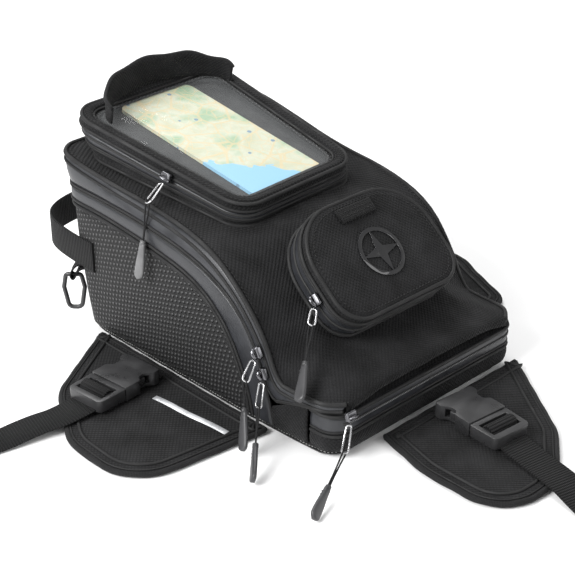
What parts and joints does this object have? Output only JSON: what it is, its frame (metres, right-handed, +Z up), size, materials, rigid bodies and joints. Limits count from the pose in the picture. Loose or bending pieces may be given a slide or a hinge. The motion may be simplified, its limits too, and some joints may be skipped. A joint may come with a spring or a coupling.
{
  "type": "tank bag",
  "caption": "Soft motorcycle tank bag with a zipped lid, hinged map window, round pocket, holding flaps with side-release buckles, webbing straps, carry handle and rings.",
  "frame": {"origin": "on the underside of the base panel, at the floor, midway between the side panels, under the main compartment", "axes": "+Z up, +Y forward towards the handlebars, +X to the rider's right"},
  "size_m": [0.5024, 0.523, 0.1927],
  "materials": {
    "oxford_fabric": "rough woven",
    "embossed_mesh": "embossed satin",
    "webbing": "ribbed",
    "acetal_plastic": "satin",
    "gunmetal": "dark polished",
    "moulded_rubber": "satin",
    "clear_film": "clear gloss",
    "printed_card": "printed satin",
    "gloss_emblem": "gloss"
  },
  "bodies": {
    "bag": {"base_panel": "oxford_fabric", "side_panel_left": "embossed_mesh", "side_panel_right": "embossed_mesh", "front_panel": "oxford_fabric", "rear_pocket": "oxford_fabric", "d_ring_left_tab": "webbing", "d_ring_right_tab": "webbing"},
    "lid": {"lid_panel": "oxford_fabric", "map_pocket_body": "oxford_fabric", "round_pocket_body": "oxford_fabric"},
    "window": {"window_frame": "oxford_fabric", "window_film": "clear_film", "window_backing": "oxford_fabric", "map_card": "printed_card"},
    "visor": {"sun_visor": "oxford_fabric"},
    "round_lid": {"round_pocket_lid": "oxford_fabric", "emblem": "gloss_emblem", "pull_tab": "webbing"},
    "slider_map": {"slider_map": "gunmetal"},
    "loop_map": {"pull_loop_map": "gunmetal"},
    "grip_map": {"pull_grip_map": "moulded_rubber"},
    "slider_left_a": {"slider_left_a": "gunmetal"},
    "loop_left_a": {"pull_loop_left_a": "gunmetal"},
    "grip_left_a": {"pull_grip_left_a": "moulded_rubber"},
    "slider_left_b": {"slider_left_b": "gunmetal"},
    "loop_left_b": {"pull_loop_left_b": "gunmetal"},
    "grip_left_b": {"pull_grip_left_b": "moulded_rubber"},
    "slider_round": {"slider_round": "gunmetal"},
    "loop_round": {"pull_loop_round": "gunmetal"},
    "grip_round": {"pull_grip_round": "moulded_rubber"},
    "slider_rear": {"slider_rear": "gunmetal"},
    "loop_rear": {"pull_loop_rear": "gunmetal"},
    "grip_rear": {"pull_grip_rear": "moulded_rubber"},
    "flap_left": {"flap_left": "oxford_fabric", "buckle_anchor_left": "webbing", "buckle_female_left": "acetal_plastic"},
    "flap_right": {"flap_right": "oxford_fabric", "buckle_anchor_right": "webbing", "buckle_female_right": "acetal_plastic"},
    "flap_rear": {"flap_rear": "oxford_fabric", "buckle_anchor_rear": "webbing", "buckle_female_rear": "acetal_plastic"},
    "plug_left": {"buckle_male_left": "acetal_plastic", "strap_left": "webbing", "strap_roll_left": "webbing"},
    "prong_front_left": {"prong_front_left": "acetal_plastic"},
    "prong_back_left": {"prong_back_left": "acetal_plastic"},
    "plug_rear": {"buckle_male_rear": "acetal_plastic", "strap_rear": "webbing", "strap_roll_rear": "webbing"},
    "prong_front_rear": {"prong_front_rear": "acetal_plastic"},
    "prong_back_rear": {"prong_back_rear": "acetal_plastic"},
    "handle": {"carry_handle": "webbing"},
    "ring_left": {"d_ring_left": "acetal_plastic"},
    "ring_right": {"d_ring_right": "acetal_plastic"}
  },
  "joints": [
    {"name": "lid_hinge", "type": "hinge", "parent": "bag", "child": "lid", "pos_m": [0, -0.122, 0.042], "axis": [1, 0, 0], "range_deg": [0, 80]},
    {"name": "window_hinge", "type": "hinge", "parent": "lid", "child": "window", "pos_m": [-0.00007, 0.00693, 0.1326], "axis": [0.9976, 0.0698, 0], "range_deg": [0, 110]},
    {"name": "visor_hinge", "type": "hinge", "parent": "window", "child": "visor", "pos_m": [-0.01151, 0.17063, 0.17248], "axis": [-0.9976, -0.0698, 0], "range_deg": [0, 12]},
    {"name": "round_lid_hinge", "type": "hinge", "parent": "lid", "child": "round_lid", "pos_m": [0, -0.09926, 0.07945], "axis": [1, 0, 0], "range_deg": [0, 55]},
    {"name": "slide_map", "type": "slide", "parent": "lid", "child": "slider_map", "axis": [-0.1592, 0.9649, 0.2089], "range_m": [0, 0.045]},
    {"name": "loop_hinge_map", "type": "hinge", "parent": "slider_map", "child": "loop_map", "pos_m": [-0.076, 0.068, 0.1446], "axis": [-0.0616, 0.9493, -0.3082], "range_deg": [0, 50]},
    {"name": "grip_hinge_map", "type": "hinge", "parent": "loop_map", "child": "grip_map", "pos_m": [-0.0975, 0.063, 0.1335], "axis": [-0.0034, 0.9999, -0.0169], "range_deg": [0, 50]},
    {"name": "slide_left_a", "type": "slide", "parent": "bag", "child": "slider_left_a", "axis": [0, 0.4983, 0.867], "range_m": [0, 0.035]},
    {"name": "loop_hinge_left_a", "type": "hinge", "parent": "slider_left_a", "child": "loop_left_a", "pos_m": [-0.1025, -0.055, 0.062], "axis": [0, 0.9985, 0.0555], "range_deg": [0, 50]},
    {"name": "grip_hinge_left_a", "type": "hinge", "parent": "loop_left_a", "child": "grip_left_a", "pos_m": [-0.113, -0.054, 0.044], "axis": [0, 0.8533, -0.5214], "range_deg": [0, 50]},
    {"name": "slide_left_b", "type": "slide", "parent": "bag", "child": "slider_left_b", "axis": [0, 0.4229, 0.9062], "range_m": [0, 0.004]},
    {"name": "loop_hinge_left_b", "type": "hinge", "parent": "slider_left_b", "child": "loop_left_b", "pos_m": [-0.103, -0.061, 0.048], "axis": [0, 0.9701, -0.2425], "range_deg": [0, 15]},
    {"name": "grip_hinge_left_b", "type": "hinge", "parent": "loop_left_b", "child": "grip_left_b", "pos_m": [-0.112, -0.066, 0.028], "axis": [0, 0.5279, -0.8493], "range_deg": [0, 15]},
    {"name": "slide_round", "type": "slide", "parent": "lid", "child": "slider_round", "axis": [0, 0.7507, 0.6606], "range_m": [0, 0.02]},
    {"name": "loop_hinge_round", "type": "hinge", "parent": "slider_round", "child": "loop_round", "pos_m": [-0.0632, -0.071, 0.094], "axis": [-0.165, 0.9788, -0.121], "range_deg": [0, 50]},
    {"name": "grip_hinge_round", "type": "hinge", "parent": "loop_round", "child": "grip_round", "pos_m": [-0.07, -0.074, 0.079], "axis": [-0.1996, 0.8584, -0.4725], "range_deg": [0, 50]},
    {"name": "slide_rear", "type": "slide", "parent": "bag", "child": "slider_rear", "axis": [1, 0, 0], "range_m": [0, 0.04]},
    {"name": "loop_hinge_rear", "type": "hinge", "parent": "slider_rear", "child": "loop_rear", "pos_m": [-0.084, -0.1255, 0.036], "axis": [-0.8919, 0.1299, 0.4332], "range_deg": [0, 15]},
    {"name": "grip_hinge_rear", "type": "hinge", "parent": "loop_rear", "child": "grip_rear", "pos_m": [-0.095, -0.131, 0.015], "axis": [-0.3112, 0.2731, 0.9103], "range_deg": [0, 15]},
    {"name": "flap_hinge_left", "type": "hinge", "parent": "bag", "child": "flap_left", "pos_m": [-0.0985, 0.03, 0.002], "axis": [0, 1, 0], "range_deg": [-60, 40]},
    {"name": "flap_hinge_right", "type": "hinge", "parent": "bag", "child": "flap_right", "pos_m": [0.0985, 0.03, 0.002], "axis": [0, -1, 0], "range_deg": [-60, 28]},
    {"name": "flap_hinge_rear", "type": "hinge", "parent": "bag", "child": "flap_rear", "pos_m": [0.025, -0.1215, 0.002], "axis": [-1, 0, 0], "range_deg": [-60, 10]},
    {"name": "plug_slide_left", "type": "slide", "parent": "flap_left", "child": "plug_left", "axis": [-0.995, -0.0999, 0], "range_m": [0, 0.028]},
    {"name": "prong_flex_front_left", "type": "hinge", "parent": "plug_left", "child": "prong_front_left", "pos_m": [-0.15528, 0.05706, 0.0125], "axis": [0, 0, -1], "range_deg": [0, 7], "stiffness_Nm_per_rad": 0.3},
    {"name": "prong_flex_back_left", "type": "hinge", "parent": "plug_left", "child": "prong_back_left", "pos_m": [-0.15298, 0.03418, 0.0125], "axis": [0, 0, 1], "range_deg": [0, 7], "stiffness_Nm_per_rad": 0.3},
    {"name": "plug_slide_rear", "type": "slide", "parent": "flap_rear", "child": "plug_rear", "axis": [-0.1, -0.995, 0], "range_m": [0, 0.028]},
    {"name": "prong_flex_front_rear", "type": "hinge", "parent": "plug_rear", "child": "prong_front_rear", "pos_m": [-0.00682, -0.16948, 0.0125], "axis": [0, 0, -1], "range_deg": [0, 7], "stiffness_Nm_per_rad": 0.3},
    {"name": "prong_flex_back_rear", "type": "hinge", "parent": "plug_rear", "child": "prong_back_rear", "pos_m": [0.01606, -0.17178, 0.0125], "axis": [0, 0, 1], "range_deg": [0, 7], "stiffness_Nm_per_rad": 0.3},
    {"name": "handle_hinge", "type": "hinge", "parent": "bag", "child": "handle", "pos_m": [0, 0.136, 0.066], "axis": [1, 0, 0], "range_deg": [0, 35]},
    {"name": "ring_hinge_left", "type": "hinge", "parent": "bag", "child": "ring_left", "pos_m": [-0.10048, 0.15836, 0.0415], "axis": [-0.7071, 0.7071, 0], "range_deg": [-60, 60]},
    {"name": "ring_hinge_right", "type": "hinge", "parent": "bag", "child": "ring_right", "pos_m": [0.10048, 0.15836, 0.0415], "axis": [0.7071, 0.7071, 0], "range_deg": [-60, 60]}
  ]
}
